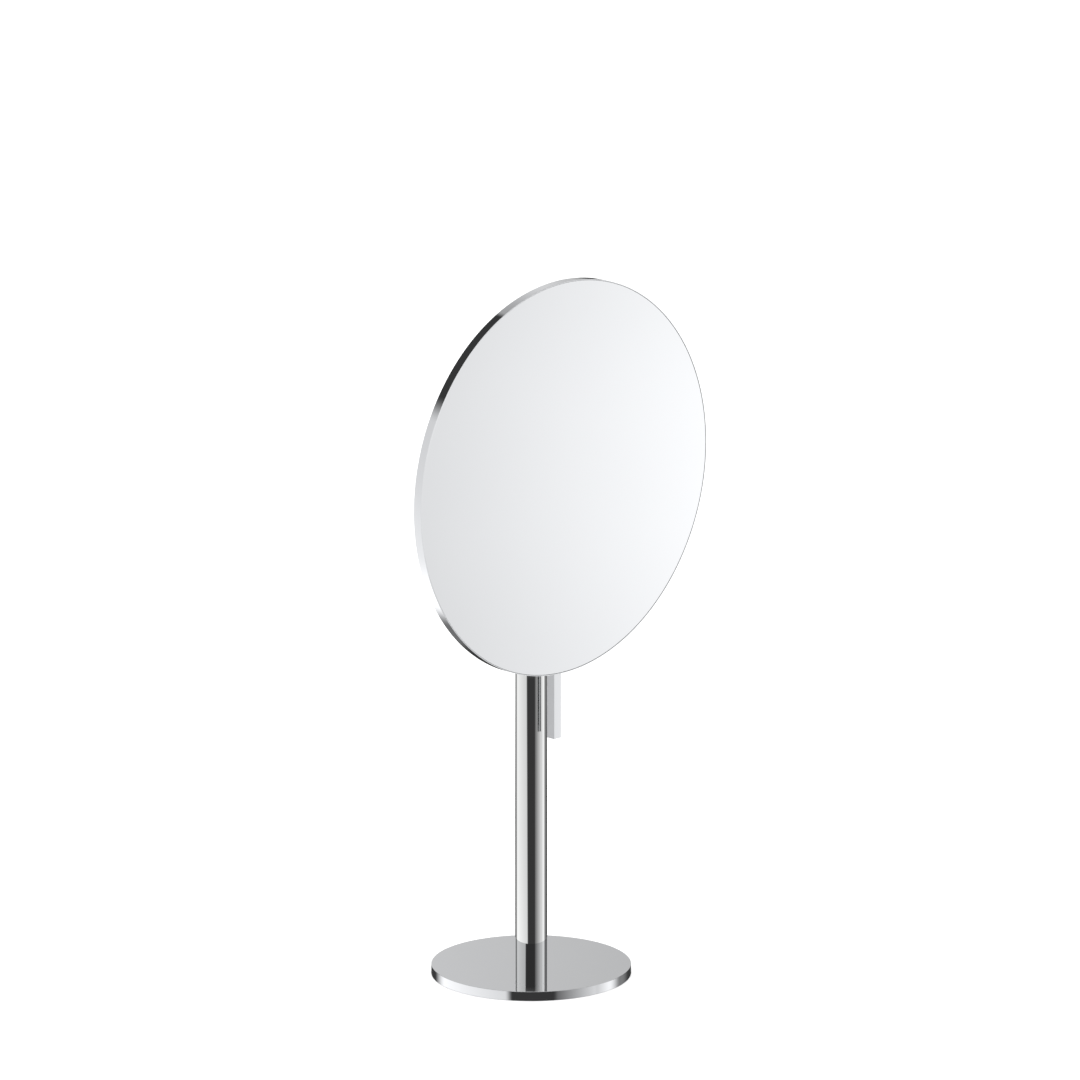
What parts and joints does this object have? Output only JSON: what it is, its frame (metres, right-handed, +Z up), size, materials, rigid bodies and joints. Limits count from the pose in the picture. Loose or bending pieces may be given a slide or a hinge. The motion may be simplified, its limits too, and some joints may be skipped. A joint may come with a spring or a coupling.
{
  "type": "extendable shaving mirror",
  "caption": "Free-standing round shaving mirror on a slim round column that pulls out, with a swivel head, a tilt joint and a bar handle under the rim.",
  "frame": {"origin": "centre of the base pad's underside, on the column's axis", "axes": "+Z up along the column; the mirror faces -Y at rest; +X is to the right of someone who looks along +Y at the mirror's face"},
  "size_m": [0.2, 0.1, 0.3605],
  "materials": {
    "chrome_plate": "polished chrome plating on steel",
    "stainless_steel": "turned stainless steel",
    "brass_bar": "turned brass",
    "black_rubber": "matt black rubber",
    "black_plastic": "matt acetal",
    "white_plastic": "satin natural acetal",
    "adhesive_foam": "double-sided foam bond",
    "silvered_glass": "flat silvered glass"
  },
  "bodies": {
    "stand": {"base_plate": "chrome_plate", "base_pad": "black_rubber", "base_screw": "stainless_steel", "base_washer": "stainless_steel", "column_tube": "chrome_plate", "column_foot": "stainless_steel", "guide_bush": "black_plastic"},
    "riser": {"riser_tube": "chrome_plate", "riser_foot": "white_plastic", "drag_rings": "black_rubber", "riser_spigot": "brass_bar", "glide_washer": "white_plastic", "swivel_screw": "stainless_steel", "swivel_spring_washer": "stainless_steel"},
    "head": {"head_fork": "chrome_plate", "tilt_screw": "stainless_steel", "tilt_nut": "stainless_steel", "tilt_spring_washer": "stainless_steel"},
    "mirror": {"tilt_lug": "chrome_plate", "friction_washers": "white_plastic", "handle_bar": "chrome_plate", "arm_screws": "stainless_steel", "mirror_pan": "chrome_plate", "adhesive_pad": "adhesive_foam", "mirror_glass": "silvered_glass"}
  },
  "joints": [
    {"name": "riser_slide", "type": "slide", "parent": "stand", "child": "riser", "axis": [0, 0, 1], "range_m": [0, 0.08]},
    {"name": "head_swivel", "type": "hinge", "parent": "riser", "child": "head", "pos_m": [0, 0, 0.2382], "axis": [0, 0, 1], "continuous": true},
    {"name": "mirror_tilt", "type": "hinge", "parent": "head", "child": "mirror", "pos_m": [0, 0, 0.2605], "axis": [-1, 0, 0], "range_deg": [-2, 90]}
  ]
}
